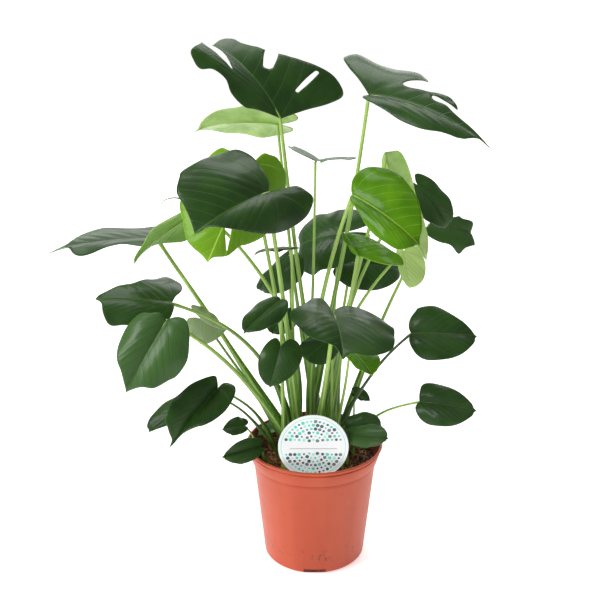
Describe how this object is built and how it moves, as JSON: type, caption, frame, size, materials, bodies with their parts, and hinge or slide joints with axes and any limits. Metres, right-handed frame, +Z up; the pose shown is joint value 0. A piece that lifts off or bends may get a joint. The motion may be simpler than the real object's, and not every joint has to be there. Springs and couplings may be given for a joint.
{
  "type": "potted monstera plant",
  "caption": "Young monstera with heart-shaped and split leaves on long green stalks, in a round tapered nursery pot with soil and a round card label on a stake",
  "frame": {"origin": "on the pot's axis, on the flat pad in the middle of the pot's underside, where it stands", "axes": "+Z up along the pot's axis, -Y the front with the label, +X to the right seen from the front"},
  "size_m": [0.6477, 0.3695, 0.789],
  "materials": {
    "terracotta_plastic": "semi-matte moulded polypropylene, terracotta orange, faint vertical sheen",
    "potting_soil": "moist dark peat with coir fibres and bark bits, fully matte",
    "label_card": null,
    "leaf_dark": "mature leaf, dark green, waxy, soft gloss, pale veins",
    "leaf_bright": "young leaf, bright green, glossy",
    "leaf_pale": "leaf underside or unrolling leaf, pale yellow-green, matte",
    "stalk_green": "smooth fleshy leaf stalk, yellow-green, satin"
  },
  "bodies": {
    "root": {"pot": "terracotta_plastic", "soil": "potting_soil", "label": "label_card", "leaf_top_left_split": "leaf_dark", "leaf_top_left_pale": "leaf_pale", "leaf_top_right_split": "leaf_dark", "leaf_top_thin": "leaf_dark", "leaf_front_dark_heart": "leaf_dark", "leaf_bright_behind_heart": "leaf_bright", "leaf_left_folded": "leaf_bright", "leaf_far_left": "leaf_dark", "leaf_left_dark": "leaf_dark", "leaf_left_glossy_heart": "leaf_dark", "leaf_left_pale": "leaf_pale", "leaf_low_left_long": "leaf_dark", "leaf_low_left_back": "leaf_dark", "leaf_rim_left_small": "leaf_dark", "leaf_rim_left_heart": "leaf_dark", "leaf_soil_left": "leaf_dark", "leaf_mid_left_heart": "leaf_dark", "leaf_mid_left_shadow": "leaf_dark", "leaf_mid_back_dark": "leaf_dark", "leaf_mid_thin": "leaf_dark", "leaf_centre_small_heart": "leaf_dark", "leaf_centre_wide": "leaf_dark", "leaf_centre_under_dark": "leaf_dark", "leaf_centre_under_bright": "leaf_bright", "leaf_back_dark_left": "leaf_dark", "leaf_back_dark_right": "leaf_dark", "leaf_bright_right": "leaf_bright", "leaf_pale_rolled": "leaf_pale", "leaf_right_dark": "leaf_dark", "leaf_far_right_grey": "leaf_dark", "leaf_bright_low_right": "leaf_bright", "leaf_pale_hanging": "leaf_pale", "leaf_right_heart": "leaf_dark", "leaf_right_low_heart": "leaf_dark", "leaf_right_tiny_dark": "leaf_dark", "leaf_rim_right_upper": "leaf_dark", "leaf_rim_right_lower": "leaf_dark", "stalks_top_left": "stalk_green", "stalk_top_right": "stalk_green", "stalk_top_thin": "stalk_green", "stalks_front_heart": "stalk_green", "stalk_left_folded": "stalk_green", "stalk_far_left": "stalk_green", "stalks_left_dark": "stalk_green", "stalk_left_glossy": "stalk_green", "stalks_low_left": "stalk_green", "stalks_mid_left": "stalk_green", "stalks_mid_back": "stalk_green", "stalk_centre_wide": "stalk_green", "stalks_centre_under": "stalk_green", "stalks_back_dark": "stalk_green", "stalks_bright_right": "stalk_green", "stalk_bright_low_right": "stalk_green", "stalk_pale_hanging": "stalk_green", "stalks_far_right": "stalk_green", "stalk_right_heart": "stalk_green", "stalk_right_low": "stalk_green"}
  },
  "joints": []
}
